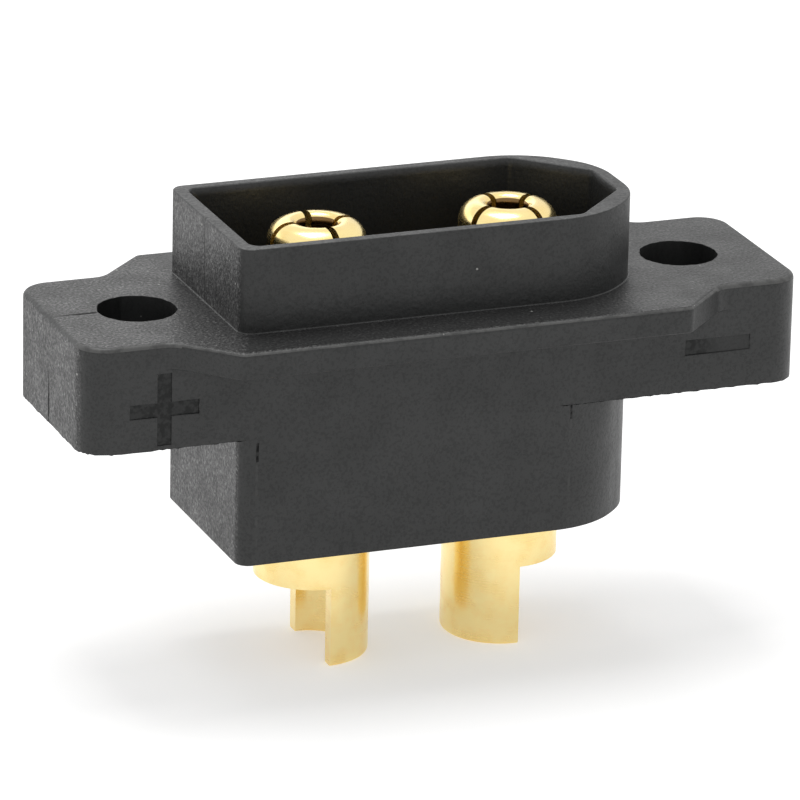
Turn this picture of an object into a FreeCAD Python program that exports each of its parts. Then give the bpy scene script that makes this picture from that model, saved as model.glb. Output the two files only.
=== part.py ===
import FreeCAD, Part

import math
import os
import Sketcher

# Panel-mount power connector: one moulded housing and two turned, gold-plated contacts.
# Origin: midway between the two mounting holes, on the upper face of the flange.
# +X runs from the positive contact to the negative one, +Y to the rear, +Z out of the socket mouth.

SIZES = {
    # Flange with its two ears, and the stop lip along both long sides
    "hole_spacing": 20.5,
    "hole_diameter": 2.8,
    "ear_end_reach": 3.2,
    "ear_thickness": 3.85,
    "ear_corner_radius": 1.1,
    "ear_edge_radius": 0.2,
    "lip_length": 16.7,
    "lip_depth": 11.5,
    "lip_thickness": 0.95,
    # Core: the skirt round the socket above the flange, and the block below it, whose base
    # lies under the socket's floor
    "core_depth": 7.7,
    "flat_end_reach": 7.75,
    "flat_end_radius": 0.5,
    "nose_reach": 7.8,
    "nose_chamfer": 2.1,
    "nose_side_radius": 3.6,
    "nose_tip_radius": 2.8,
    "skirt_height": 3.05,
    "block_drop": 8.55,
    "base_thickness": 3.8,
    # Socket: a keyed cavity with a lead-in round its mouth
    "side_wall": 0.65,
    "flat_end_wall": 0.85,
    "nose_wall": 0.75,
    "cavity_chamfer": 2.4,
    "cavity_corner_radius": 0.3,
    "lead_in": 0.3,
    # Contacts: slotted hollow pin on its root, collar with a snap groove, solder cup
    "contact_pitch": 7.2,
    "pin_diameter": 3.5,
    "pin_setback": 0.45,
    "pin_nose_radius": 0.7,
    "pin_mouth_chamfer": 0.3,
    "pin_bore_diameter": 1.35,
    "pin_bore_depth": 6.4,
    "slot_width": 0.25,
    "slot_depth": 5.6,
    "slot_turn": 45,
    "root_diameter": 3.9,
    "collar_diameter": 4.6,
    "cup_diameter": 4.15,
    "cup_bore_diameter": 3.05,
    "cup_bore_depth": 4.9,
    "cup_ring_height": 1.95,
    "cup_open_height": 2.95,
    "cup_edge_chamfer": 0.12,
    "drill_point_height": 0.85,
    # Seat of a contact: its turn in its round bore, the step that its shoulder meets,
    # and the rib that its groove snaps over
    "positive_turn": 320,
    "negative_turn": 69,
    "seat_depth": 1.3,
    "rib_depth": 0.8,
    "rib_height": 0.5,
    "rib_inset": 0.15,
    "contact_clearance": 0.05,
}

# Heights worked out from the sizes, as formulas that sketches and features share.
CUP_END_DROP = "(sizes.block_drop + sizes.cup_ring_height + sizes.cup_open_height)"
SEAT_RISE = "(sizes.base_thickness - sizes.seat_depth)"
RIB_TOP_RISE = f"({SEAT_RISE} - sizes.rib_depth)"
RIB_FOOT_RISE = f"({RIB_TOP_RISE} - sizes.rib_height)"
BLOCK_RISE = "(sizes.cup_ring_height + sizes.cup_open_height)"
PIN_TIP_RISE = f"({BLOCK_RISE} + sizes.block_drop + sizes.skirt_height - sizes.pin_setback)"
RIB_RADIUS = "(sizes.collar_diameter / 2 - sizes.rib_inset)"

TOLERANCE = 1e-4  # lengths this close in mm are taken as equal
FULL_TURN = 360
QUARTER_TURN = 90

doc = FreeCAD.newDocument("panel_connector")
sheet = doc.addObject("Spreadsheet::Sheet", "sizes")
for row, (alias, number) in enumerate(SIZES.items(), start=1):
    sheet.set(f"A{row}", alias)
    sheet.set(f"B{row}", str(number))
    sheet.setAlias(f"B{row}", alias)
doc.recompute()


def worth(formula):
    return float(sheet.evalExpression(formula))


def new_body(name):
    body = doc.addObject("PartDesign::Body", name)
    body.Label = name
    return body


def new_sketch(body, name, role="XY_Plane", **offsets):
    # Sketch on one of the body's own planes. Offsets are formulas along the plane's x, y and z.
    sketch = body.newObject("Sketcher::SketchObject", name)
    plane = next(item for item in body.Origin.OriginFeatures if item.Role == role)
    sketch.AttachmentSupport = [(plane, "")]
    sketch.MapMode = "FlatFace"
    for axis, formula in offsets.items():
        sketch.setExpression(f"AttachmentOffset.Base.{axis}", formula)
    return sketch


def bind(sketch, kind, places, formula):
    # A measured constraint that follows the sheet.
    index = sketch.addConstraint(Sketcher.Constraint(kind, *places, worth(formula)))
    sketch.setExpression(f"Constraints[{index}]", formula)


def place(sketch, geometry, point, across, along):
    # Dimensions a point from the sketch's origin.
    for kind, axis, formula in (("DistanceX", -2, across), ("DistanceY", -1, along)):
        if formula == "0":
            sketch.addConstraint(Sketcher.Constraint("PointOnObject", geometry, point, axis))
        else:
            bind(sketch, kind, (-1, 1, geometry, point), formula)


def draw_outline(sketch, corners):
    # Closed outline of straight edges, counter-clockwise where it has round corners.
    # A corner is its two places and, where it is round, the radius.
    count = len(corners)
    spots = [FreeCAD.Vector(worth(across), worth(along), 0) for across, along, *radius in corners]
    arrivals, departures, centres = [], [], []
    for i, (across, along, *radius) in enumerate(corners):
        before = (spots[i] - spots[i - 1]).normalize()
        after = (spots[(i + 1) % count] - spots[i]).normalize()
        size = worth(radius[0]) if radius else 0
        trim = size * math.tan(before.getAngle(after) / 2)
        arrivals.append(spots[i] - before * trim)
        departures.append(spots[i] + after * trim)
        centres.append(arrivals[i] + FreeCAD.Vector(-before.y, before.x, 0) * size)
    for i in range(count):
        sketch.addGeometry(Part.LineSegment(departures[i], arrivals[(i + 1) % count]), False)
    for i, (across, along, *radius) in enumerate(corners):
        last = (i - 1) % count
        if not radius:
            sketch.addConstraint(Sketcher.Constraint("Coincident", last, 2, i, 1))
            place(sketch, i, 1, across, along)
            continue
        first, second = arrivals[i] - centres[i], departures[i] - centres[i]
        circle = Part.Circle(centres[i], FreeCAD.Vector(0, 0, 1), first.Length)
        span = math.atan2(first.y, first.x), math.atan2(second.y, second.x)
        arc = sketch.addGeometry(Part.ArcOfCircle(circle, *span), False)
        sketch.addConstraint(Sketcher.Constraint("Tangent", last, 2, arc, 1))
        sketch.addConstraint(Sketcher.Constraint("Tangent", arc, 2, i, 1))
        bind(sketch, "Radius", (arc,), radius[0])
        corner = sketch.addGeometry(Part.Point(spots[i]), True)
        for line in (last, i):
            sketch.addConstraint(Sketcher.Constraint("PointOnObject", corner, 1, line))
        place(sketch, corner, 1, across, along)


def mirrored(corners):
    # The corners given run below the X axis, and their mirror images close the outline.
    return corners + [(across, f"-({along})", *radius) for across, along, *radius in reversed(corners)]


def extrude(body, kind, name, sketch, length, reverse=False):
    before = body.Shape.Volume if body.Tip else 0.0
    feature = body.newObject(kind, name)
    feature.Profile = sketch
    feature.Reversed = reverse
    feature.setExpression("Length", length)
    doc.recompute()
    check_gain(body, name, before, kind == "PartDesign::Pad")


def turn(body, kind, name, sketch):
    before = body.Shape.Volume if body.Tip else 0.0
    feature = body.newObject(kind, name)
    feature.Profile = sketch
    feature.ReferenceAxis = (sketch, ["V_Axis"])
    feature.Angle = FULL_TURN
    doc.recompute()
    check_gain(body, name, before, kind == "PartDesign::Revolution")


def check_gain(body, name, before, adds):
    # A feature that points the wrong way changes nothing and shows no error.
    if (body.Shape.Volume > before) != adds or body.Shape.Volume == before:
        raise RuntimeError(f"{name} leaves the volume at {body.Shape.Volume:.3f}")


def dress(body, kind, name, aspect, formula, chosen):
    # Fillet or chamfer on the edges that a test picks.
    base = body.Tip
    names = [f"Edge{i}" for i, edge in enumerate(base.Shape.Edges, start=1) if chosen(edge)]
    feature = body.newObject(kind, name)
    feature.Base = (base, names)
    feature.setExpression(aspect, formula)
    doc.recompute()
    if not feature.isValid():
        raise RuntimeError(f"{name} fails on {len(names)} edges")


def near(value, formula):
    return abs(value - worth(formula)) < TOLERANCE


def lies_at(edge, formula):
    return near(edge.BoundBox.ZMin, formula) and near(edge.BoundBox.ZMax, formula)


def is_ring(edge, radius, height):
    # A full circle of this radius at this height.
    return edge.isClosed() and near(edge.Curve.Radius, radius) and lies_at(edge, height)


def build_housing():
    body = new_body("housing")

    # Flange bar with rounded ends, whose upper edges are eased
    ear_end = "(sizes.hole_spacing / 2 + sizes.ear_end_reach)"
    flange = new_sketch(body, "flange_outline")
    draw_outline(flange, mirrored([
        (f"-{ear_end}", "-sizes.core_depth / 2", "sizes.ear_corner_radius"),
        (ear_end, "-sizes.core_depth / 2", "sizes.ear_corner_radius"),
    ]))
    extrude(body, "PartDesign::Pad", "flange", flange, "sizes.ear_thickness", reverse=True)
    dress(body, "PartDesign::Fillet", "ear_edges", "Radius", "sizes.ear_edge_radius",
          lambda edge: lies_at(edge, "0"))

    # Stop lip, level with the ears, whose ends run back to them at 45 degrees
    run = "(sizes.lip_depth - sizes.core_depth) / 2"
    lip = new_sketch(body, "lip_outline")
    draw_outline(lip, mirrored([
        (f"-sizes.lip_length / 2 - {run}", "-sizes.core_depth / 2"),
        ("-sizes.lip_length / 2", "-sizes.lip_depth / 2"),
        ("sizes.lip_length / 2", "-sizes.lip_depth / 2"),
        (f"sizes.lip_length / 2 + {run}", "-sizes.core_depth / 2"),
    ]))
    extrude(body, "PartDesign::Pad", "lip", lip, "sizes.lip_thickness", reverse=True)

    # Core: flat at the positive end, a rounded nose at the negative end
    core = new_sketch(body, "core_outline", z="-sizes.block_drop")
    draw_outline(core, mirrored([
        ("-sizes.flat_end_reach", "-sizes.core_depth / 2", "sizes.flat_end_radius"),
        ("sizes.nose_reach - sizes.nose_chamfer", "-sizes.core_depth / 2", "sizes.nose_side_radius"),
        ("sizes.nose_reach", "sizes.nose_chamfer - sizes.core_depth / 2", "sizes.nose_tip_radius"),
    ]))
    extrude(body, "PartDesign::Pad", "core", core, "sizes.block_drop + sizes.skirt_height")

    # Keyed cavity: square corners at the positive end, 45-degree corners at the negative end
    inner_side = "sizes.side_wall - sizes.core_depth / 2"
    inner_nose = "sizes.nose_reach - sizes.nose_wall"
    corner_radius = "sizes.cavity_corner_radius"
    cavity = new_sketch(body, "cavity_outline", z="sizes.skirt_height")
    draw_outline(cavity, mirrored([
        ("sizes.flat_end_wall - sizes.flat_end_reach", inner_side, corner_radius),
        (f"{inner_nose} - sizes.cavity_chamfer", inner_side, corner_radius),
        (inner_nose, f"{inner_side} + sizes.cavity_chamfer", corner_radius),
    ]))
    cavity_depth = "sizes.skirt_height + sizes.block_drop - sizes.base_thickness"
    extrude(body, "PartDesign::Pocket", "cavity", cavity, cavity_depth)
    dress(body, "PartDesign::Chamfer", "mouth_lead_in", "Size", "sizes.lead_in",
          lambda edge: lies_at(edge, "sizes.skirt_height") and is_inside_mouth(edge))

    # Mounting holes
    holes = new_sketch(body, "hole_circles")
    for index, side in enumerate(("-", "")):
        centre = FreeCAD.Vector(worth(f"{side}sizes.hole_spacing / 2"), 0, 0)
        radius = worth("sizes.hole_diameter / 2")
        holes.addGeometry(Part.Circle(centre, FreeCAD.Vector(0, 0, 1), radius), False)
        holes.addConstraint(Sketcher.Constraint("PointOnObject", index, 3, -1))
        bind(holes, "DistanceX", (-1, 1, index, 3), f"{side}sizes.hole_spacing / 2")
        bind(holes, "Diameter", (index,), "sizes.hole_diameter")
    extrude(body, "PartDesign::Pocket", "mounting_holes", holes, "sizes.ear_thickness")

    # Stepped bores that take the contacts from below, each with a rib for the snap groove
    bore = "sizes.collar_diameter / 2 + sizes.contact_clearance"
    throat = "sizes.root_diameter / 2 + sizes.contact_clearance"
    for name, side in (("positive", "-"), ("negative", "")):
        seat = new_sketch(body, f"{name}_bore_section", role="XZ_Plane",
                          x=f"{side}sizes.contact_pitch / 2", y="-sizes.block_drop")
        draw_outline(seat, [
            ("0", "0"), (bore, "0"), (bore, RIB_FOOT_RISE), (RIB_RADIUS, RIB_FOOT_RISE),
            (RIB_RADIUS, RIB_TOP_RISE), (bore, RIB_TOP_RISE), (bore, SEAT_RISE), (throat, SEAT_RISE),
            (throat, "sizes.base_thickness"), ("0", "sizes.base_thickness"),
        ])
        turn(body, "PartDesign::Groove", f"{name}_bore", seat)


def is_inside_mouth(edge):
    # The cavity's rim lies at least a wall inside the core's outline.
    box = edge.BoundBox
    half = worth("sizes.core_depth / 2 - sizes.side_wall") + TOLERANCE
    left = worth("sizes.flat_end_wall - sizes.flat_end_reach") - TOLERANCE
    right = worth("sizes.nose_reach - sizes.nose_wall") + TOLERANCE
    return -half < box.YMin and box.YMax < half and left < box.XMin and box.XMax < right


def build_contact(pole, side, outward):
    # Turned in one piece about the body's own Z axis, with heights measured up from the cup's end.
    # Side is the sign of X where it stands, and outward the direction that its cup opens to.
    body = new_body(f"{pole}_contact")
    body.Placement.Rotation = FreeCAD.Rotation(FreeCAD.Vector(0, 0, 1), worth(f"sizes.{pole}_turn"))
    body.setExpression("Placement.Rotation.Angle", f"sizes.{pole}_turn")
    body.setExpression("Placement.Base.x", f"{side}sizes.contact_pitch / 2")
    body.setExpression("Placement.Base.z", f"-{CUP_END_DROP}")

    root_top = f"sizes.base_thickness + {BLOCK_RISE}"
    shoulder = f"{SEAT_RISE} + {BLOCK_RISE}"
    groove_top = f"{RIB_TOP_RISE} + {BLOCK_RISE} + sizes.contact_clearance"
    groove_foot = f"{RIB_FOOT_RISE} + {BLOCK_RISE} - sizes.contact_clearance"
    groove_radius = f"{RIB_RADIUS} - sizes.contact_clearance"
    collar_radius = "sizes.collar_diameter / 2"
    cup_radius = "sizes.cup_diameter / 2"
    root_radius = "sizes.root_diameter / 2"
    pin_radius = "sizes.pin_diameter / 2"
    section = new_sketch(body, f"{pole}_section", role="XZ_Plane")
    draw_outline(section, [
        ("0", "sizes.cup_bore_depth + sizes.drill_point_height"),
        ("sizes.cup_bore_diameter / 2", "sizes.cup_bore_depth"),
        ("sizes.cup_bore_diameter / 2", "0"),
        (cup_radius, "0"), (cup_radius, BLOCK_RISE),
        (collar_radius, BLOCK_RISE), (collar_radius, groove_foot),
        (groove_radius, groove_foot), (groove_radius, groove_top),
        (collar_radius, groove_top), (collar_radius, shoulder),
        (root_radius, shoulder), (root_radius, root_top),
        (pin_radius, root_top), (pin_radius, PIN_TIP_RISE),
        ("sizes.pin_bore_diameter / 2", PIN_TIP_RISE),
        ("sizes.pin_bore_diameter / 2", f"{PIN_TIP_RISE} - sizes.pin_bore_depth"),
        ("0", f"{PIN_TIP_RISE} - sizes.pin_bore_depth"),
    ])
    turn(body, "PartDesign::Revolution", f"{pole}_turning", section)
    dress(body, "PartDesign::Fillet", f"{pole}_pin_nose", "Radius", "sizes.pin_nose_radius",
          lambda edge: is_ring(edge, pin_radius, PIN_TIP_RISE))
    dress(body, "PartDesign::Chamfer", f"{pole}_pin_mouth", "Size", "sizes.pin_mouth_chamfer",
          lambda edge: is_ring(edge, "sizes.pin_bore_diameter / 2", PIN_TIP_RISE))
    dress(body, "PartDesign::Chamfer", f"{pole}_cup_edge", "Size", "sizes.cup_edge_chamfer",
          lambda edge: is_ring(edge, cup_radius, "0"))

    # Two crossed saw cuts make the four spring leaves of the pin
    for index in range(2):
        saw = new_sketch(body, f"{pole}_saw_{index}", z=PIN_TIP_RISE)
        saw.setExpression("AttachmentOffset.Rotation.Angle", f"sizes.slot_turn + {index * QUARTER_TURN}")
        draw_outline(saw, mirrored([
            ("-sizes.pin_diameter", "-sizes.slot_width / 2"),
            ("sizes.pin_diameter", "-sizes.slot_width / 2"),
        ]))
        extrude(body, "PartDesign::Pocket", f"{pole}_slot_{index}", saw, "sizes.slot_depth")

    # The lower part of the cup is cut away on the side where the wire is laid in
    milling = new_sketch(body, f"{pole}_cup_cut")
    milling.setExpression("AttachmentOffset.Rotation.Angle", f"{outward} - sizes.{pole}_turn")
    draw_outline(milling, mirrored([
        ("0", "-sizes.cup_diameter"),
        ("sizes.cup_diameter", "-sizes.cup_diameter"),
    ]))
    extrude(body, "PartDesign::Pocket", f"{pole}_cup_opening", milling, "sizes.cup_open_height", reverse=True)


def export_parts():
    doc.recompute()
    for item in doc.Objects:
        if {"Invalid", "Error"} & set(item.State):
            raise RuntimeError(f"{item.Name}: {item.State}")
    os.makedirs("parts", exist_ok=True)
    bodies = [item for item in doc.Objects if item.TypeId == "PartDesign::Body"]
    for body in bodies:
        shape = body.Shape
        if shape.isNull() or not shape.isValid() or len(shape.Solids) != 1:
            raise RuntimeError(f"{body.Label} is not one valid solid")
    for body in bodies:
        body.Shape.exportStep(os.path.join("parts", f"{body.Label}.step"))
        box = body.Shape.BoundBox
        print(f"{body.Label}: {body.Shape.Volume:.1f} mm3, {len(body.Shape.Faces)} faces, "
              f"X {box.XMin:.2f} to {box.XMax:.2f}, Y {box.YMin:.2f} to {box.YMax:.2f}, "
              f"Z {box.ZMin:.2f} to {box.ZMax:.2f}")


build_housing()
build_contact("positive", "-", 180)
build_contact("negative", "", 0)
export_parts()
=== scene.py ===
import math
import random

import bmesh
import bpy
from mathutils import Matrix, Vector


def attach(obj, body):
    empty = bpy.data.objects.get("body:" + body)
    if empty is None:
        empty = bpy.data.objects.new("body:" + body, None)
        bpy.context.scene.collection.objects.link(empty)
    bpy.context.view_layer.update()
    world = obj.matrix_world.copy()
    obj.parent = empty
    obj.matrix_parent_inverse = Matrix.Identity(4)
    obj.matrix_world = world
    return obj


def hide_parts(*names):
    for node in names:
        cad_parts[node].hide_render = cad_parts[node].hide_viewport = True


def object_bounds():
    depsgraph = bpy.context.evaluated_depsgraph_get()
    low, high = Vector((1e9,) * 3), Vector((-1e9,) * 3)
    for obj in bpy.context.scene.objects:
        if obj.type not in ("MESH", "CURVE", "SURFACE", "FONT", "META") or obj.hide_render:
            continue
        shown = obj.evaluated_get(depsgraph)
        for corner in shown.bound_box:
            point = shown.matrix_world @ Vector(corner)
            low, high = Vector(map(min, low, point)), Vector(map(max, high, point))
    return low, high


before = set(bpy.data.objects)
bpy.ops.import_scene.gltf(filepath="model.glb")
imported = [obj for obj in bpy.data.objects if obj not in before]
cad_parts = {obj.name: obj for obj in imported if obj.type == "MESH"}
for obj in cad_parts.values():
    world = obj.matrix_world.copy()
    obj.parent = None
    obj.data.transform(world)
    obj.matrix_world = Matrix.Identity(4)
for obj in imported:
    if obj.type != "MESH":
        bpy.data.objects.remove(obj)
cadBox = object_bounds()
mm = 0.001
near = 1e-3  # points closer than this, in millimetres, count as one
decimals = 4  # of a millimetre, kept in a prism's coordinates
overshoot = 1  # how far a cutter reaches past what it cuts
bandEdge = (0.6, 1.4)  # where a band starts and ends to fade, as shares of its half width
print("frame loaded:", ", ".join(sorted(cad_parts)))


# A socket in a node tree. Sums of values are written as sums, and each adds its Math node.
class Link:
    def __init__(self, board, socket):
        self.board, self.socket = board, socket

    def sum(self, operation, *parts):
        return self.board.add("ShaderNodeMath", {"operation": operation}, dict(enumerate(parts)))

    def other(self, name):
        return Link(self.board, self.socket.node.outputs[name])

    def __add__(self, other):
        return self.sum("ADD", self, other)

    def __mul__(self, other):
        return self.sum("MULTIPLY", self, other)

    def __sub__(self, other):
        return self.sum("SUBTRACT", self, other)

    def __rsub__(self, other):
        return self.sum("SUBTRACT", other, self)

    def __truediv__(self, other):
        return self.sum("DIVIDE", self, other)

    def __abs__(self):
        return self.sum("ABSOLUTE", self)

    def __lt__(self, other):
        return self.sum("LESS_THAN", self, other)

    def __gt__(self, other):
        return self.sum("GREATER_THAN", self, other)

    __radd__ = __add__


class Board:
    # The node tree that a material, the world or a modifier is wired on
    def __init__(self, tree):
        self.tree = tree

    def add(self, kind, settings=None, sockets=None, output=0):
        # A node whose sockets are wired to Links or set to plain values
        node = self.tree.nodes.new(kind)
        for name, setting in (settings or {}).items():
            setattr(node, name, setting)
        for name, source in (sockets or {}).items():
            if isinstance(source, Link):
                self.tree.links.new(source.socket, node.inputs[name])
            else:
                node.inputs[name].default_value = source
        if not node.outputs:
            return None
        return Link(self, node.outputs[output])

    def millimetres(self):
        # A point of the object, in millimetres
        spot = self.add("ShaderNodeTexCoord", output="Object")
        return self.add("ShaderNodeVectorMath", {"operation": "SCALE"}, {0: spot, "Scale": 1 / mm})

    def noise(self, place, scale, detail=2.0, roughness=0.5):
        sockets = {"Vector": place, "Scale": scale, "Detail": detail, "Roughness": roughness}
        return self.add("ShaderNodeTexNoise", {}, sockets)

    def rise(self, value, low, high):
        # 0 below low, 1 above high, and a smooth step between them
        ranges = {"Value": value, "From Min": low, "From Max": high}
        return self.add("ShaderNodeMapRange", {"interpolation_type": "SMOOTHSTEP"}, ranges)

    def band(self, value, centre, half):
        # 1 near the centre, easing to 0 about half away from it
        full, gone = bandEdge
        return 1 - self.rise(abs(value - centre), half * full, half * gone)

    def blend(self, factor, first, second):
        # Sockets 6 and 7 of the Mix node are its two colours
        mixing = {"Factor": factor, 6: first, 7: second}
        return self.add("ShaderNodeMix", {"data_type": "RGBA"}, mixing, output=2)

    def attribute(self, name):
        return self.add("ShaderNodeAttribute", {"attribute_name": name}, output="Fac")


def newMaterial(name):
    material = bpy.data.materials.new(name)
    material.use_nodes = True
    material.node_tree.nodes.clear()
    return material, Board(material.node_tree)


# Meshes

def bmeshObject(name, shape):
    mesh = bpy.data.meshes.new(name)
    shape.to_mesh(mesh)
    shape.free()
    piece = bpy.data.objects.new(name, mesh)
    bpy.context.scene.collection.objects.link(piece)
    return piece


def roundedPath(corners, arcStep, closed=True):
    # Points of an outline whose corners (x, y, radius) are arcs, with a point each arcStep degrees
    points = []
    count = len(corners)
    for i, (x, y, radius) in enumerate(corners):
        spot = Vector((x, y))
        if radius == 0 or (not closed and i in (0, count - 1)):
            points.append(spot)
            continue
        before = (Vector(corners[i - 1][:2]) - spot).normalized()
        after = (Vector(corners[(i + 1) % count][:2]) - spot).normalized()
        turn = math.pi - before.angle(after)
        trim = radius * math.tan(turn / 2)
        centre = spot + (before + after).normalized() * (radius / math.cos(turn / 2))
        start = spot + before * trim - centre
        side = 1 if before.x * after.y - before.y * after.x < 0 else -1
        steps = max(2, round(math.degrees(turn) / arcStep))
        for k in range(steps + 1):
            angle = side * turn * k / steps
            points.append(centre + Vector((start.x * math.cos(angle) - start.y * math.sin(angle),
                                           start.x * math.sin(angle) + start.y * math.cos(angle))))
    return points


def stackedPrism(name, rings):
    # Closed solid through rings of equal length, each a list of points with its height. Coordinates
    # are rounded, so that faces meant to share a plane do.
    shape = bmesh.new()
    loops = [[shape.verts.new([round(c, decimals) for c in (x, y, height)]) for x, y in points]
             for points, height in rings]
    count = len(loops[0])
    for lower, upper in zip(loops, loops[1:]):
        for i in range(count):
            j = (i + 1) % count
            shape.faces.new((lower[i], lower[j], upper[j], upper[i]))
    shape.faces.new(list(reversed(loops[0])))
    shape.faces.new(loops[-1])
    bmesh.ops.recalc_face_normals(shape, faces=shape.faces)
    return bmeshObject(name, shape)


def block(name, corner, opposite):
    (x0, y0, z0), (x1, y1, z1) = corner, opposite
    outline = [(x0, y0), (x1, y0), (x1, y1), (x0, y1)]
    return stackedPrism(name, [(outline, z0), (outline, z1)])


def spun(name, section, segments):
    # Solid of revolution round Z. The section's points (radius, height) run from axis to axis.
    shape = bmesh.new()
    rings = []
    for radius, height in section:
        if radius == 0:
            rings.append([shape.verts.new((0, 0, height))])
            continue
        angles = [2 * math.pi * k / segments for k in range(segments)]
        rings.append([shape.verts.new((radius * math.cos(a), radius * math.sin(a), height))
                      for a in angles])
    for first, second in zip(rings, rings[1:]):
        for k in range(segments):
            j = (k + 1) % segments
            corners = [first[k % len(first)], first[j % len(first)],
                       second[j % len(second)], second[k % len(second)]]
            shape.faces.new(list(dict.fromkeys(corners)))
    bmesh.ops.recalc_face_normals(shape, faces=shape.faces)
    return bmeshObject(name, shape)


def settle(piece):
    # Works the piece's modifiers into a plain mesh
    evaluated = piece.evaluated_get(bpy.context.evaluated_depsgraph_get())
    mesh = bpy.data.meshes.new_from_object(evaluated)
    piece.modifiers.clear()
    piece.data = mesh


def combine(piece, operation, others):
    for other in others:
        modifier = piece.modifiers.new(operation, "BOOLEAN")
        modifier.operation = operation
        modifier.solver = "EXACT"
        modifier.object = other
        settle(piece)
        bpy.data.objects.remove(other)


def cleanFaces(piece, flatAngle):
    shape = bmesh.new()
    shape.from_mesh(piece.data)
    bmesh.ops.remove_doubles(shape, verts=shape.verts, dist=near)
    bmesh.ops.dissolve_limit(shape, angle_limit=math.radians(flatAngle),
                             verts=shape.verts, edges=shape.edges)
    shape.to_mesh(piece.data)
    shape.free()


softening = {"segments": 3, "normalWeight": 100}


def softenEdges(piece, widest, edgeWidth, hardAngle):
    # Rounds each hard edge by what edgeWidth gives for it, and keeps it crisp where that is 0
    shape = bmesh.new()
    shape.from_mesh(piece.data)
    weights = shape.edges.layers.float.new("bevel_weight_edge")
    for edge in shape.edges:
        fold = edge.calc_face_angle_signed() if len(edge.link_faces) == 2 else 0
        if abs(fold) > math.radians(hardAngle):
            width = edgeWidth(edge, fold > 0)
            edge[weights] = width / widest
            edge.smooth = width > 0
    shape.to_mesh(piece.data)
    shape.free()
    for face in piece.data.polygons:
        face.use_smooth = True
    bevel = piece.modifiers.new("soft edges", "BEVEL")
    bevel.width = widest
    bevel.segments = softening["segments"]
    bevel.limit_method = "WEIGHT"
    bevel.use_clamp_overlap = False
    settle(piece)
    weighted = piece.modifiers.new("even normals", "WEIGHTED_NORMAL")
    weighted.keep_sharp = True
    weighted.weight = softening["normalWeight"]
    settle(piece)


def finishPiece(piece, material, node):
    piece.data.transform(Matrix.Scale(mm, 4))
    piece.data.materials.clear()
    piece.data.materials.append(material)
    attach(piece, "root")
    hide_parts(node)
    print(f"{piece.name}: {len(piece.data.polygons)} faces")


# Housing

housingSizes = {
    "holeSpacing": 20.5, "holeRadius": 1.4, "holeWobble": 0.025, "holeWaves": (3, 7, 13, 22),
    "holeWaveSpread": 3, "holePoints": 90, "holeBand": 0.1,
    "earEndReach": 3.2, "earThickness": 3.85,
    "earCornerRadius": 1.1, "topEdgeRadius": 0.2, "topEdgeSteps": 6,
    "lipLength": 16.7, "lipDepth": 11.5, "lipThickness": 0.95,
    "lipCornerRadius": 0.35, "lipRootRadius": 0.8,
    "coreDepth": 7.7, "flatEndReach": 7.75, "flatEndRadius": 0.5,
    "noseReach": 7.8, "noseChamfer": 2.1, "noseSideRadius": 3.6, "noseTipRadius": 2.8,
    "skirtHeight": 3.05, "blockDrop": 8.55,
    "sideWall": 0.55, "flatEndWall": 0.6, "noseWall": 0.6,
    "cavityChamfer": 2.2, "cavityCornerRadius": 0.3, "cavityDepth": 7.8,
    "leadIn": 0.12, "leadInDepth": 0.3,
    "contactPitch": 7.2, "boreRadius": 2.35, "throatRadius": 2.0, "ribRadius": 2.15,
    "seatDepth": 1.3, "ribDepth": 0.8, "ribHeight": 0.5, "boreSegments": 96,
    "arcStep": 5, "hardAngle": 25, "flatAngle": 0.5,
    "rimSoftness": 0.05, "footFillet": 0.05, "lipSoftness": 0.05, "blockSoftness": 0.05,
    "holeSoftness": 0.015, "signSoftness": 0.045,
    "flashDrop": 0.035, "flashStep": 0.14, "innerFold": 5.73, "seed": 11,
}
dice = random.Random(housingSizes["seed"])


def mirroredCorners(corners):
    return corners + [(x, -y, radius) for x, y, radius in reversed(corners)]


def easedTop(outline, top, radius, steps):
    # Rings of an outline whose top edge is a quarter round
    count = len(outline)
    normals = []
    for i in range(count):
        along = outline[(i + 1) % count] - outline[i - 1]
        normals.append(Vector((-along.y, along.x)).normalized())
    rings = []
    for k in range(steps + 1):
        angle = math.pi / 2 * k / steps
        inset = radius * (1 - math.cos(angle))
        rings.append(([point + normal * inset for point, normal in zip(outline, normals)],
                      top - radius + radius * math.sin(angle)))
    return rings


def unevenCircle(centreX):
    # A screw hole's outline, slightly out of round as its moulded edge is
    s = housingSizes
    waves = [(turns, dice.uniform(0, 2 * math.pi)) for turns in s["holeWaves"]]
    points = []
    for k in range(s["holePoints"]):
        angle = 2 * math.pi * k / s["holePoints"]
        swell = sum(math.sin(turns * angle + phase) for turns, phase in waves)
        reach = s["holeRadius"] + s["holeWobble"] * swell / s["holeWaveSpread"]
        points.append(Vector((centreX + reach * math.cos(angle), reach * math.sin(angle))))
    return points


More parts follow.
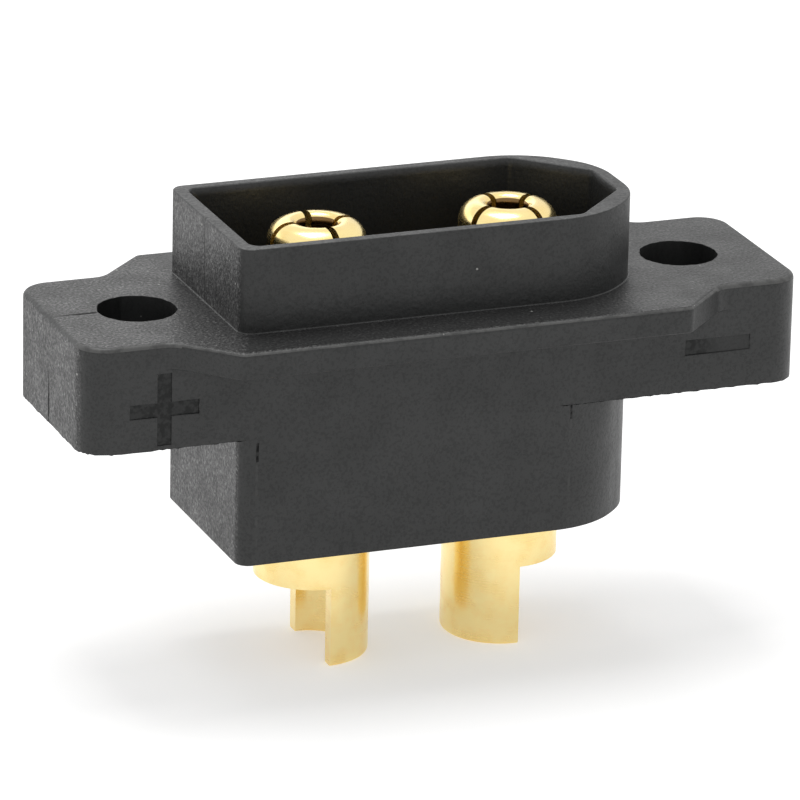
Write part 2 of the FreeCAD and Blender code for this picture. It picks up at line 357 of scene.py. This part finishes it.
def housingCutters():
    # The two screw holes, the cavity and the contacts' stepped bores with their snap ribs
    s = housingSizes
    innerSide = s["sideWall"] - s["coreDepth"] / 2
    innerNose = s["noseReach"] - s["noseWall"]
    innerFlat = s["flatEndWall"] - s["flatEndReach"]

    def mouth(grow):
        # The cavity's outline, grown outwards for the lead-in
        reach = s["cavityChamfer"] + grow * (2 - math.sqrt(2))
        radius = s["cavityCornerRadius"]
        return roundedPath(mirroredCorners([
            (innerFlat - grow, innerSide - grow, radius + grow),
            (innerNose + grow - reach, innerSide - grow, radius + grow),
            (innerNose + grow, innerSide - grow + reach, radius + grow)]), s["arcStep"])

    floor = s["skirtHeight"] - s["cavityDepth"]
    cavity = stackedPrism("cavity", [
        (mouth(0), floor), (mouth(0), s["skirtHeight"] - s["leadInDepth"]),
        (mouth(s["leadIn"]), s["skirtHeight"]), (mouth(s["leadIn"]), s["skirtHeight"] + overshoot)])

    seat = floor - s["seatDepth"]
    ribTop = seat - s["ribDepth"]
    ribFoot = ribTop - s["ribHeight"]
    foot = -s["blockDrop"] - overshoot
    holes, bores = [], []
    for side in (-1, 1):
        edge = unevenCircle(side * s["holeSpacing"] / 2)
        holes.append(stackedPrism("hole", [
            (edge, -s["earThickness"] - overshoot), (edge, overshoot)]))
        bore = spun("bore", [
            (0, foot), (s["boreRadius"], foot),
            (s["boreRadius"], ribFoot), (s["ribRadius"], ribFoot),
            (s["ribRadius"], ribTop), (s["boreRadius"], ribTop),
            (s["boreRadius"], seat), (s["throatRadius"], seat),
            (s["throatRadius"], floor + overshoot), (0, floor + overshoot)], s["boreSegments"])
        bore.data.transform(Matrix.Translation((side * s["contactPitch"] / 2, 0, 0)))
        bores.append(bore)
    return holes + [cavity] + bores


def holeDistance(x, y):
    # From the axis of the nearer screw hole
    return math.hypot(abs(x) - housingSizes["holeSpacing"] / 2, y)


def housingEdgeWidth(edge, convex):
    # How far an edge is rounded, by where it lies
    s = housingSizes
    first, second = (vert.co for vert in edge.verts)
    level = first.z
    onFront = all(abs(spot.y + s["coreDepth"] / 2) < near for spot in (first, second))
    if abs(first.z - second.z) > near:
        return s["signSoftness"] if onFront and convex and level > -s["earThickness"] else 0
    middle = (first + second) / 2
    inHole = abs(holeDistance(middle.x, middle.y) - s["holeRadius"]) < s["holeBand"]
    if abs(level - s["skirtHeight"]) < near:
        return s["rimSoftness"] if convex else 0
    if abs(level) < near:
        return s["holeSoftness"] if inHole else s["footFillet"] * (not convex)
    if abs(level + s["lipThickness"]) < near and convex:
        return s["lipSoftness"]
    if abs(level + s["blockDrop"]) < near and convex:
        return s["blockSoftness"]
    if onFront and convex and near - s["earThickness"] < level < -s["lipThickness"]:
        return s["signSoftness"]
    return 0


def raggedLowerEdges(piece):
    # Thin ragged flash along the lower edges of the ears
    s = housingSizes
    shape = bmesh.new()
    shape.from_mesh(piece.data)

    def isLower(edge):
        middle = (edge.verts[0].co + edge.verts[1].co) / 2
        inHole = holeDistance(middle.x, middle.y) < s["holeRadius"] + s["holeBand"]
        level = all(abs(vert.co.z + s["earThickness"]) < near for vert in edge.verts)
        return (level and not inHole and len(edge.link_faces) == 2
                and edge.calc_face_angle_signed() > math.radians(s["hardAngle"]))

    for edge in [edge for edge in shape.edges if isLower(edge)]:
        cuts = round(edge.calc_length() / s["flashStep"]) - 1
        if cuts > 0:
            bmesh.ops.subdivide_edges(shape, edges=[edge], cuts=cuts)
    lower = [edge for edge in shape.edges if isLower(edge)]
    # Points on an inner corner stay where they are
    innerFold = -math.radians(s["innerFold"])
    kept = {vert for edge in shape.edges if len(edge.link_faces) == 2
            and edge.calc_face_angle_signed() < innerFold for vert in edge.verts}
    moved = sorted({vert for edge in lower for vert in edge.verts} - kept,
                   key=lambda vert: (round(vert.co.x, 3), round(vert.co.y, 3)))
    for vert in moved:
        vert.co.z -= s["flashDrop"] * dice.random() ** 2
    shape.to_mesh(piece.data)
    shape.free()


# Bands and insets in millimetres, limits of a face's normal, how much of the grain shows, and the
# painted shade in holes
zoneSizes = {
    "rimBand": 0.1, "cavityEndInset": 0.3, "cavitySideInset": 0.2,
    "signReach": 1.3, "signTop": -1, "signDepths": (0.02, 0.2),
    "steepest": 0.5, "level": 0.9, "facingFrom": 0.88, "facingSpan": 0.1,
    "rimGrain": 0.3, "noseGrain": 0.45, "levelGrain": 0.8, "holeShade": 0.2,
    "lipHighlight": (0.5, 0.85), "earHighlight": (0.3, 0.96), "lipHighlightReach": 1.2,
}


def markZones(piece):
    # Where the mould's eroded grain shows, which faces in a sign or hole get painted shade, and
    # which a painted edge highlight
    s, zone, sign = housingSizes, zoneSizes, signSizes
    grain, sunkShade, edgeHighlight = (piece.data.attributes.new(name, "FLOAT", "FACE")
                         for name in ("grain", "sunkShade", "edgeHighlight"))
    half = s["coreDepth"] / 2
    reach = zone["signReach"]
    signSpans = [(sign["plusX"] - reach, sign["plusX"] + reach),
                 (sign["minusLow"], sign["minusHigh"])]
    shallow, deep = zone["signDepths"]
    for i, polygon in enumerate(piece.data.polygons):
        x, y, z = polygon.center
        normal = polygon.normal
        onRim = z > s["skirtHeight"] - zone["rimBand"]
        inCavity = (abs(x) < s["flatEndReach"] - zone["cavityEndInset"]
                    and abs(y) < half - zone["cavitySideInset"] and not onRim)
        inHole = (holeDistance(x, y) < s["holeRadius"] + s["holeBand"]
                  and abs(normal.z) < zone["steepest"])
        inSign = (any(low < x < high for low, high in signSpans)
                  and -s["earThickness"] < z < zone["signTop"] and shallow < y + half < deep)

        shown = 1
        if inCavity or inHole:
            shown = 0
        elif onRim:
            shown = zone["rimGrain"]
        elif x > s["noseReach"]:
            shown = zone["noseGrain"]
        if normal.z > zone["level"]:
            shown *= zone["levelGrain"]
        facing = (max(normal.z, abs(normal.x)) - zone["facingFrom"]) / zone["facingSpan"]
        grain.data[i].value = shown * min(1, max(0, facing))
        # Painted shade: full in the sunk signs, a share of it in the screw holes
        sunkShade.data[i].value = zone["holeShade"] if inHole else float(inSign)

        # Painted highlight along the rounded top edges, on the front side only
        alongLip = abs(x) < s["lipLength"] / 2 + zone["lipHighlightReach"]
        steep, flat = zone["lipHighlight"] if alongLip else zone["earHighlight"]
        onTopEdge = steep < normal.z < flat and -s["topEdgeRadius"] < z < 0
        edgeHighlight.data[i].value = float(onTopEdge and y < 0)


def buildHousing(material):
    s = housingSizes
    half = s["coreDepth"] / 2
    lipHalf = s["lipDepth"] / 2
    lipEnd = s["lipLength"] / 2
    run = lipHalf - half
    earEnd = s["holeSpacing"] / 2 + s["earEndReach"]

    # Flange with its lip, one prism whose top edge is eased, cut back under the lip on both sides
    deck = roundedPath(mirroredCorners([
        (-earEnd, -half, s["earCornerRadius"]), (-lipEnd - run, -half, s["lipRootRadius"]),
        (-lipEnd, -lipHalf, s["lipCornerRadius"]), (lipEnd, -lipHalf, s["lipCornerRadius"]),
        (lipEnd + run, -half, s["lipRootRadius"]), (earEnd, -half, s["earCornerRadius"]),
    ]), s["arcStep"])
    housing = stackedPrism("housing_moulding", [(deck, -s["earThickness"])]
                           + easedTop(deck, 0, s["topEdgeRadius"], s["topEdgeSteps"]))
    # The undercuts end where the arc at the lip's root meets the ear
    lipReach = lipEnd + run + s["lipRootRadius"] * math.tan(math.pi / 8)
    undercuts = [block("undercut", (-lipReach, side * half, -s["earThickness"] - overshoot),
                       (lipReach, side * (lipHalf + overshoot), -s["lipThickness"]))
                 for side in (-1, 1)]
    combine(housing, "DIFFERENCE", undercuts)

    core = roundedPath(mirroredCorners([
        (-s["flatEndReach"], -half, s["flatEndRadius"]),
        (s["noseReach"] - s["noseChamfer"], -half, s["noseSideRadius"]),
        (s["noseReach"], s["noseChamfer"] - half, s["noseTipRadius"])]), s["arcStep"])
    coreBlock = stackedPrism("core", [(core, -s["blockDrop"]), (core, s["skirtHeight"])])

    combine(housing, "UNION", [coreBlock])
    combine(housing, "DIFFERENCE", housingCutters() + signCutters())
    cleanFaces(housing, s["flatAngle"])
    raggedLowerEdges(housing)
    softenEdges(housing, s["footFillet"], housingEdgeWidth, s["hardAngle"])
    markZones(housing)
    finishPiece(housing, material, "housing")


signSizes = {
    "plusX": -10.53, "plusZ": -2.4, "plusAcross": 2.5, "plusDown": 2.6, "plusBar": 0.5,
    "minusLow": 8.97, "minusHigh": 11.45, "minusZ": -2.21, "minusBar": 0.55,
    "recess": 0.05,
}


def signCutters():
    # Polarity signs, sunk in the front face of the ears
    s = signSizes
    face = -housingSizes["coreDepth"] / 2
    bars = [
        (s["plusX"], s["plusZ"], s["plusAcross"], s["plusBar"]),
        (s["plusX"], s["plusZ"], s["plusBar"], s["plusDown"]),
        ((s["minusLow"] + s["minusHigh"]) / 2, s["minusZ"],
         s["minusHigh"] - s["minusLow"], s["minusBar"]),
    ]
    return [block("sign", (x - width / 2, face - overshoot, z - height / 2),
                  (x + width / 2, face + s["recess"], z + height / 2))
            for x, z, width, height in bars]


# Contacts

contactSizes = {
    "segments": 128, "pitch": 7.2,
    "pinRadius": 1.75, "pinNoseRadius": 0.7, "pinMouthRadius": 0.3, "tipHeight": 2.6,
    "boreRadius": 0.675, "boreDepth": 6.4,
    "slotWidth": 0.25, "slotDepth": 5.6,
    "rootRadius": 1.95, "collarRadius": 2.3, "grooveRadius": 2.1,
    "rootTop": -4.75, "shoulder": -6.05, "grooveTop": -6.8, "grooveFoot": -7.4, "collarFoot": -8.55,
    "cupRadius": 2.075, "cupBoreRadius": 1.525, "cupBoreDepth": 4.9, "drillPoint": 0.85,
    "cupOpenHeight": 2.95, "cupEnd": -13.45, "cupEdgeRadius": 0.12,
    "turnedRadius": 0.05, "arcStep": 9, "hardAngle": 30, "seamGap": 1e-4, "cutterReach": 3.45,
}
poles = {
    "positive_contact": {"side": -1, "slotTurn": 5, "cupTurn": 180},
    "negative_contact": {"side": 1, "slotTurn": 24, "cupTurn": 0},
}


def contactSection():
    # Radius, height and corner radius, from the drill point in the cup to the pin's bore
    s = contactSizes
    soft = s["turnedRadius"]
    return [
        (0, s["cupEnd"] + s["cupBoreDepth"] + s["drillPoint"], 0),
        (s["cupBoreRadius"], s["cupEnd"] + s["cupBoreDepth"], soft),
        (s["cupBoreRadius"], s["cupEnd"], soft),
        (s["cupRadius"], s["cupEnd"], s["cupEdgeRadius"]),
        (s["cupRadius"], s["collarFoot"], 0),
        (s["collarRadius"], s["collarFoot"], soft),
        (s["collarRadius"], s["grooveFoot"], soft), (s["grooveRadius"], s["grooveFoot"], 0),
        (s["grooveRadius"], s["grooveTop"], 0), (s["collarRadius"], s["grooveTop"], soft),
        (s["collarRadius"], s["shoulder"], soft),
        (s["rootRadius"], s["shoulder"], 0), (s["rootRadius"], s["rootTop"], soft),
        (s["pinRadius"], s["rootTop"], 0),
        (s["pinRadius"], s["tipHeight"], s["pinNoseRadius"]),
        (s["boreRadius"], s["tipHeight"], s["pinMouthRadius"]),
        (s["boreRadius"], s["tipHeight"] - s["boreDepth"], 0),
        (0, s["tipHeight"] - s["boreDepth"], 0),
    ]


def turnedContactTree():
    # Spins a section round Z, saws the crossed slots and mills the cup open on one side
    tree = bpy.data.node_groups.new("turned contact", "GeometryNodeTree")
    tree.interface.new_socket("Geometry", in_out="INPUT", socket_type="NodeSocketGeometry")
    for name, kind in (("Segments", "Int"), ("Section Points", "Int"), ("Slot Width", "Float"),
                       ("Slot Depth", "Float"), ("Slot Turn", "Float"), ("Tip Height", "Float"),
                       ("Cup End", "Float"), ("Cup Open Height", "Float"), ("Cup Turn", "Float"),
                       ("Reach", "Float"), ("Seam Gap", "Float"), ("Plating", "Material")):
        tree.interface.new_socket(name, in_out="INPUT", socket_type=f"NodeSocket{kind}")
    tree.interface.new_socket("Geometry", in_out="OUTPUT", socket_type="NodeSocketGeometry")
    board = Board(tree)
    entry = tree.nodes.new("NodeGroupInput")
    given = {socket.name: Link(board, socket) for socket in entry.outputs if socket.name}

    def along(**parts):
        return board.add("ShaderNodeCombineXYZ", {}, parts)

    # Each column of the grid is the section, turned by its share of a whole turn
    points = given["Section Points"]
    grid = board.add("GeometryNodeMeshGrid", {}, {
        "Size X": 1.0, "Size Y": 1.0, "Vertices X": given["Segments"] + 1, "Vertices Y": points})
    index = board.add("GeometryNodeInputIndex")
    column = index.sum("FLOOR", (index + 0.5) / points)
    row = index - column * points
    angle = column / given["Segments"] * (2 * math.pi)
    spot = board.add("GeometryNodeSampleIndex", {"data_type": "FLOAT_VECTOR", "domain": "POINT"}, {
        "Geometry": given["Geometry"], "Index": row,
        "Value": board.add("GeometryNodeInputPosition")})
    radius = board.add("ShaderNodeSeparateXYZ", {}, {"Vector": spot}, output="X")
    turned = along(X=radius * angle.sum("COSINE", angle), Y=radius * angle.sum("SINE", angle),
                   Z=radius.other("Z"))
    solid = board.add("GeometryNodeSetPosition", {}, {"Geometry": grid, "Position": turned})
    solid = board.add("GeometryNodeMergeByDistance", {}, {
        "Geometry": solid, "Distance": given["Seam Gap"]})

    # Two crossed saw blades, then the mill that opens the cup
    reach = given["Reach"]
    blade = board.add("GeometryNodeMeshCube", {}, {
        "Size": along(X=reach * 2, Y=given["Slot Width"], Z=given["Slot Depth"] * 2)})
    spots = board.add("GeometryNodeMeshLine", {}, {
        "Count": 2, "Start Location": along(Z=given["Tip Height"]), "Offset": (0, 0, 0)})
    quarter = board.add("GeometryNodeInputIndex") * (math.pi / 2) + given["Slot Turn"]
    blades = board.add("GeometryNodeInstanceOnPoints", {}, {
        "Points": spots, "Instance": blade, "Rotation": along(Z=quarter)})
    blades = board.add("GeometryNodeRealizeInstances", {}, {"Geometry": blades})
    sawn = board.add("GeometryNodeMeshBoolean", {"operation": "DIFFERENCE", "solver": "EXACT"}, {
        "Mesh 1": solid, "Mesh 2": blades, "Self Intersection": True})

    mill = board.add("GeometryNodeMeshCube", {}, {
        "Size": along(X=reach, Y=reach * 2, Z=given["Cup Open Height"] * 2)})
    mill = board.add("GeometryNodeTransform", {}, {
        "Geometry": mill, "Translation": along(X=reach / 2, Z=given["Cup End"])})
    mill = board.add("GeometryNodeTransform", {}, {
        "Geometry": mill, "Rotation": along(Z=given["Cup Turn"])})
    milled = board.add("GeometryNodeMeshBoolean", {"operation": "DIFFERENCE", "solver": "EXACT"}, {
        "Mesh 1": sawn, "Mesh 2": mill})
    whole = board.add("GeometryNodeRealizeInstances", {}, {"Geometry": milled})
    plated = board.add("GeometryNodeSetMaterial", {}, {
        "Geometry": whole, "Material": given["Plating"]})
    board.add("NodeGroupOutput", {}, {"Geometry": plated})
    return tree


def buildContact(name, pole, tree, material):
    s = contactSizes
    section = roundedPath(contactSection(), s["arcStep"], closed=False)
    shape = bmesh.new()
    verts = [shape.verts.new((radius, 0, height)) for radius, height in section]
    for first, second in zip(verts, verts[1:]):
        shape.edges.new((first, second))
    contact = bmeshObject(name + "_turning", shape)
    modifier = contact.modifiers.new("turned", "NODES")
    modifier.node_group = tree
    values = {
        "Segments": s["segments"], "Section Points": len(section), "Slot Width": s["slotWidth"],
        "Slot Depth": s["slotDepth"], "Slot Turn": math.radians(pole["slotTurn"]),
        "Tip Height": s["tipHeight"], "Cup End": s["cupEnd"], "Cup Open Height": s["cupOpenHeight"],
        "Cup Turn": math.radians(pole["cupTurn"]), "Reach": s["cutterReach"],
        "Seam Gap": s["seamGap"], "Plating": material}
    for item in tree.interface.items_tree:
        if item.in_out == "INPUT" and item.name in values:
            modifier[item.identifier] = values[item.name]
    settle(contact)
    shape = bmesh.new()
    shape.from_mesh(contact.data)
    bmesh.ops.remove_doubles(shape, verts=shape.verts, dist=near)
    bmesh.ops.dissolve_degenerate(shape, edges=shape.edges, dist=near)
    bmesh.ops.recalc_face_normals(shape, faces=shape.faces)
    shape.to_mesh(contact.data)
    shape.free()
    contact.data.transform(Matrix.Translation((pole["side"] * s["pitch"] / 2, 0, 0)))
    # The section has its roundings already, so the hard edges only stay crisp
    softenEdges(contact, 1, lambda edge, convex: 0, s["hardAngle"])
    finishPiece(contact, material, name)


# Materials

# Specks are painted glints, the edge tone a painted highlight, the sunk tone painted shade
nylonTones = {
    "smooth": (0.0145, 0.0152, 0.0150, 1), "grained": (0.058, 0.057, 0.0575, 1),
    "pit": (0.014, 0.014, 0.014, 1), "glint": (0.2, 0.2, 0.195, 1),
    "edgeHighlight": (0.085, 0.085, 0.083, 1),
    "sunkShade": (0.004, 0.0045, 0.0043, 1), "line": (0.002, 0.002, 0.002, 1),
    "trace": (0.035, 0.035, 0.034, 1), "dust": (0.42, 0.42, 0.40, 1),
}
nylonLooks = {
    "roughness": 0.40, "sheen": 0.08, "dullRoughness": 0.7, "dullSpecular": 0.12, "ior": 1.51,
    "clouding": 0.35, "shading": 0.15, "highlight": 0.35, "highlightPatches": 0.5,
    "trace": 0.5, "groove": 0.9, "grooveLeast": 0.45, "groovePatches": 0.55, "joint": 0.25,
    "dustScale": 1.05, "emptyCells": 0.8, "pitGloom": 0.2, "grainGloom": 0.12,
    "signGloom": 0.28, "signPatches": 0.32, "signFade": 0.85,
}
# Scale, detail and roughness of each noise
nylonNoises = {
    "fine": (10.0, 2.0, 0.6), "coarse": (4.5, 2.0), "cloud": (0.55, 3.0), "breaks": (2.2, 3.0),
}
# How far each pattern stands out of the surface or sinks into it
nylonRelief = {
    "strength": 0.8, "distance": 0.03,
    "skin": 0.25, "grain": 0.6, "coarse": 0.5, "groove": 2.0, "dust": 0.8,
}
# Where on the part its marks lie, in millimetres
nylonSizes = {
    "front": -3.75, "traceWander": 0.06, "traceHalf": 0.045,
    "lineWander": 0.12, "lineHalf": 0.075, "lineTurn": -0.15, "lineInner": -11.7,
    "jointInner": -7.6, "jointFoot": 0.1, "holeFront": -1.6,
}
# Where each pattern starts to show and where it shows in full, in levels of noise or millimetres
nylonRises = {
    "grain": (0.36, 0.62), "glint": (0.54, 0.66), "glintPatch": (0.4, 0.6), "clouding": (0.35, 0.7),
    "shading": (0.5, 0.3), "highlight": (0.35, 0.6), "trace": (0.42, 0.62), "notch": (0.4, 0.6),
    "lineOnTop": (-13.5, -12.3), "lineOnEnd": (-1.5, -3.0), "lineBreaks": (0.36, 0.5),
    "dust": (0.03, 0.06), "sheen": (0.3, 0.7), "minusFade": (9.3, 10.6), "pit": (0.54, 0.38),
    "signPatch": (0.6, 0.4),
}
# The traces on the block's front, each with a short notch at its top
insertTraces = [
    {"x": -7.12, "foot": -8.5, "notchFoot": -4.7, "top": -4.0},
    {"x": 4.65, "foot": -8.2, "notchFoot": -4.4, "top": -3.88},
]


def nylonMaterial():
    material, board = newMaterial("black moulded nylon")
    s, look, tones, relief = nylonSizes, nylonLooks, nylonTones, nylonRelief

    def rise(value, name):
        return board.rise(value, *nylonRises[name])

    place = board.millimetres()
    x = board.add("ShaderNodeSeparateXYZ", {}, {"Vector": place}, output="X")
    y, z = x.other("Y"), x.other("Z")
    grained, sunkShade, edgeHighlight = (board.attribute(name) for name in ("grain", "sunkShade", "edgeHighlight"))

    fine, coarse, cloud, breaks = (board.noise(place, *nylonNoises[name])
                                   for name in ("fine", "coarse", "cloud", "breaks"))

    pitted = board.blend(rise(fine, "grain"), tones["pit"], tones["grained"])
    # Painted glints: bright specks in the grain where tiny facets would catch the light
    pitted = board.blend(rise(fine, "glint") * rise(coarse, "glintPatch"), pitted, tones["glint"])
    tone = board.blend(grained * (1 - edgeHighlight), tones["smooth"], pitted)
    # Random clouding, darkened towards the tone of the painted shade
    shade = rise(cloud, "clouding") * look["clouding"] + rise(fine, "shading") * look["shading"]
    tone = board.blend(shade, tone, tones["sunkShade"])
    # Painted highlight along the rounded top front edges, in patches
    highlighted = edgeHighlight * (look["highlight"] + rise(breaks, "highlight") * look["highlightPatches"])
    tone = board.blend(highlighted, tone, tones["edgeHighlight"])
    # Painted shade in the sunk signs and the screw holes
    tone = board.blend(sunkShade, tone, tones["sunkShade"])

    # Faint traces of the mould's insert on the block's front
    onFront = y < s["front"]
    tracing, notches = 0, 0
    for trace in insertTraces:
        wandering = x + (breaks - 0.5) * s["traceWander"]
        onTrace = board.band(wandering, trace["x"], s["traceHalf"]) * onFront * (z < trace["top"])
        tracing = onTrace * (z > trace["foot"]) * rise(breaks, "trace") + tracing
        patchy = look["grooveLeast"] + rise(coarse, "notch") * look["groovePatches"]
        notches = onTrace * (z > trace["notchFoot"]) * patchy + notches
    tone = board.blend(tracing * look["trace"], tone, tones["trace"])

    # The mould's parting line along the left ear, and the joint that it leaves on the skirt's end
    wander = y + (breaks - 0.5) * s["lineWander"]
    onTop = (z > s["lineTurn"]) * rise(x, "lineOnTop")
    onEnd = (z < s["lineTurn"]) * rise(z, "lineOnEnd")
    patchy = look["grooveLeast"] + rise(breaks, "lineBreaks") * look["groovePatches"]
    onEar = (x < s["lineInner"]) * (onTop + onEnd) * patchy
    onSkirt = (x < s["jointInner"]) * (z > s["jointFoot"]) * look["joint"]
    parting = board.band(wander, 0.0, s["lineHalf"]) * onEar.sum("MAXIMUM", onEar, onSkirt)
    grooves = parting.sum("MAXIMUM", parting, notches)
    tone = board.blend(grooves * look["groove"], tone, tones["line"])

    # Sparse dust, in a fifth of the pattern's cells
    cells = board.add("ShaderNodeTexVoronoi", {}, {
        "Vector": place, "Scale": look["dustScale"]})
    chance = board.add("ShaderNodeSeparateColor", {}, {"Color": cells.other("Color")}, output="Red")
    dust = (1 - rise(cells, "dust")) * (chance > look["emptyCells"])
    tone = board.blend(dust, tone, tones["dust"])

    height = fine * (relief["skin"] + grained * relief["grain"]) + coarse * relief["coarse"]
    height = height - grooves * relief["groove"] + dust * relief["dust"]
    bump = board.add("ShaderNodeBump", {}, {
        "Strength": relief["strength"], "Distance": relief["distance"] * mm, "Height": height})
    roughness = look["roughness"] + rise(cloud, "sheen") * look["sheen"]
    skin = board.add("ShaderNodeBsdfPrincipled", {}, {
        "Base Color": tone, "Roughness": roughness, "IOR": look["ior"], "Normal": bump})

    # Pits, grooves and sunk signs catch little of the room, so they lose their sheen. The minus
    # sign fades to the right, and the hole behind it doesn't.
    fading = 1 - rise(x, "minusFade") * (y < s["holeFront"]) * look["signFade"]
    dull = board.add("ShaderNodeBsdfPrincipled", {}, {
        "Base Color": tone, "Roughness": look["dullRoughness"], "IOR": look["ior"],
        "Specular IOR Level": look["dullSpecular"], "Normal": bump})
    pits = rise(fine, "pit") * (look["pitGloom"] + grained * look["grainGloom"])
    patchy = look["signGloom"] + rise(coarse, "signPatch") * look["signPatches"]
    sunkGloom = sunkShade * fading * patchy
    gloom = grooves.sum("MAXIMUM", grooves * look["groove"], sunkGloom)
    gloom = gloom.sum("MAXIMUM", gloom, pits)
    surface = board.add("ShaderNodeMixShader", {}, {"Fac": gloom, 1: skin, 2: dull})
    board.add("ShaderNodeOutputMaterial", {}, {"Surface": surface})
    return material


platingTones = {
    "bright": (0.98, 0.79, 0.37, 1), "deep": (0.94, 0.71, 0.29, 1), "bore": (0.10, 0.04, 0.015, 1),
}
platingLooks = {
    "ringStretch": (0.12, 0.12, 18.0), "boreMargin": 0.06, "boreShadeShare": 0.9,
    "roughness": 0.18, "cloudRoughness": 0.08, "ringRoughness": 0.05,
    "bumpStrength": 0.3, "bumpDistance": 0.002,
}
platingNoises = {"cloud": (1.2, 4.0), "rings": (1.0, 2.0, 0.5)}
platingRises = {"clouding": (0.35, 0.75), "sheen": (0.3, 0.7), "rings": (0.45, 0.7)}


def platingMaterial():
    material, board = newMaterial("gold plating")
    look, tones = platingLooks, platingTones

    def rise(value, name):
        return board.rise(value, *platingRises[name])

    place = board.millimetres()
    cloud = board.noise(place, *platingNoises["cloud"])
    tone = board.blend(rise(cloud, "clouding"), tones["bright"], tones["deep"])

    # Painted shade: the bore in a pin's tip is darkened to a dark brown
    x = board.add("ShaderNodeSeparateXYZ", {}, {"Vector": place}, output="X")
    y, z = x.other("Y"), x.other("Z")
    off = abs(x) - contactSizes["pitch"] / 2
    inBore = off * off + y * y < (contactSizes["boreRadius"] + look["boreMargin"]) ** 2
    tone = board.blend(inBore * (z > 0) * look["boreShadeShare"], tone, tones["bore"])

    # Fine rings left by the turning
    stretched = board.add("ShaderNodeVectorMath", {"operation": "MULTIPLY"}, {
        0: place, 1: look["ringStretch"]})
    rings = board.noise(stretched, *platingNoises["rings"])
    bump = board.add("ShaderNodeBump", {}, {
        "Strength": look["bumpStrength"], "Distance": look["bumpDistance"] * mm, "Height": rings})
    roughness = look["roughness"] + rise(cloud, "sheen") * look["cloudRoughness"]
    roughness = roughness + rise(rings, "rings") * look["ringRoughness"]
    surface = board.add("ShaderNodeBsdfPrincipled", {}, {
        "Base Color": tone, "Metallic": 1.0, "Roughness": roughness, "Normal": bump})
    board.add("ShaderNodeOutputMaterial", {}, {"Surface": surface})
    return material


buildHousing(nylonMaterial())
plating = platingMaterial()
contactTree = turnedContactTree()
for name, pole in poles.items():
    buildContact(name, pole, contactTree, plating)


# Stage, lights and camera

# Distances on the stage are in metres
stageSizes = {
    "floorSpan": 3.0, "floorTone": 0.88, "floorGlow": 0.37, "skyGlow": 0.6,
}
softboxes = {
    "key": {
        "direction": (-0.02, 0.15, 0.98), "distance": 0.45, "size": (0.22, 0.22), "power": 0.85},
    "back": {
        "direction": (-0.3, 0.9, 0.3), "distance": 0.7, "size": (1.1, 0.3), "power": 0.7},
}


def seenDirectly(board):
    # 1 for rays from the camera, a mirror or glass, and 0 for those that light the object
    camera = board.add("ShaderNodeLightPath", output="Is Camera Ray")
    mirror, glass = camera.other("Is Glossy Ray"), camera.other("Is Transmission Ray")
    return camera.sum("MAXIMUM", camera.sum("MAXIMUM", camera, mirror), glass)


def buildFloor():
    s = stageSizes
    shape = bmesh.new()
    bmesh.ops.create_grid(shape, x_segments=1, y_segments=1, size=s["floorSpan"])
    bmesh.ops.translate(shape, verts=shape.verts, vec=(0, 0, cadBox[0].z))
    floor = bmeshObject("floor", shape)
    material, board = newMaterial("pale floor")
    paper = board.add("ShaderNodeBsdfDiffuse", {}, {"Color": (s["floorTone"],) * 3 + (1,)})
    glow = board.add("ShaderNodeEmission", {}, {"Strength": seenDirectly(board) * s["floorGlow"]})
    both = board.add("ShaderNodeAddShader", {}, {0: paper, 1: glow})
    board.add("ShaderNodeOutputMaterial", {}, {"Surface": both})
    floor.data.materials.append(material)


def buildLights():
    s = stageSizes
    world = bpy.data.worlds.new("white room")
    world.use_nodes = True
    world.node_tree.nodes.clear()
    bpy.context.scene.world = world
    board = Board(world.node_tree)
    strength = s["skyGlow"] + seenDirectly(board) * (1 - s["skyGlow"])
    sky = board.add("ShaderNodeBackground", {}, {"Color": (1, 1, 1, 1), "Strength": strength})
    board.add("ShaderNodeOutputWorld", {}, {"Surface": sky})
    for name, box in softboxes.items():
        data = bpy.data.lights.new(name, "AREA")
        data.shape = "RECTANGLE"
        data.size, data.size_y = box["size"]
        data.energy = box["power"]
        lamp = bpy.data.objects.new(name, data)
        bpy.context.scene.collection.objects.link(lamp)
        direction = Vector(box["direction"]).normalized()
        lamp.location = direction * box["distance"]
        lamp.rotation_mode = "QUATERNION"
        lamp.rotation_quaternion = direction.to_track_quat("Z", "Y")


# Fitted to the part's straight edges. In degrees and millimetres, and the clip start in metres.
cameraSizes = {
    "lens": 297.057, "azimuth": -21.4997, "elevation": 19.496, "roll": 1.2556,
    "distance": 234.4455, "target": (-0.3356, 0, -4.4457), "clipStart": 0.01,
}


def buildCamera():
    s = cameraSizes
    a, e, r = (math.radians(s[key]) for key in ("azimuth", "elevation", "roll"))
    back = Vector((math.sin(a) * math.cos(e), -math.cos(a) * math.cos(e), math.sin(e)))
    level = Vector((math.cos(a), math.sin(a), 0))
    upright = back.cross(level)
    right = level * math.cos(r) + upright * math.sin(r)
    up = upright * math.cos(r) - level * math.sin(r)
    data = bpy.data.cameras.new("camera")
    data.lens = s["lens"]
    data.clip_start = s["clipStart"]
    camera = bpy.data.objects.new("camera", data)
    bpy.context.scene.collection.objects.link(camera)
    turn = Matrix((right, up, back)).transposed().to_4x4()
    place = (Vector(s["target"]) + back * s["distance"]) * mm
    camera.matrix_world = Matrix.Translation(place) @ turn
    bpy.context.scene.camera = camera


buildFloor()
buildLights()
buildCamera()
bpy.context.scene.view_settings.view_transform = "Standard"
print("stage, lights and camera set")
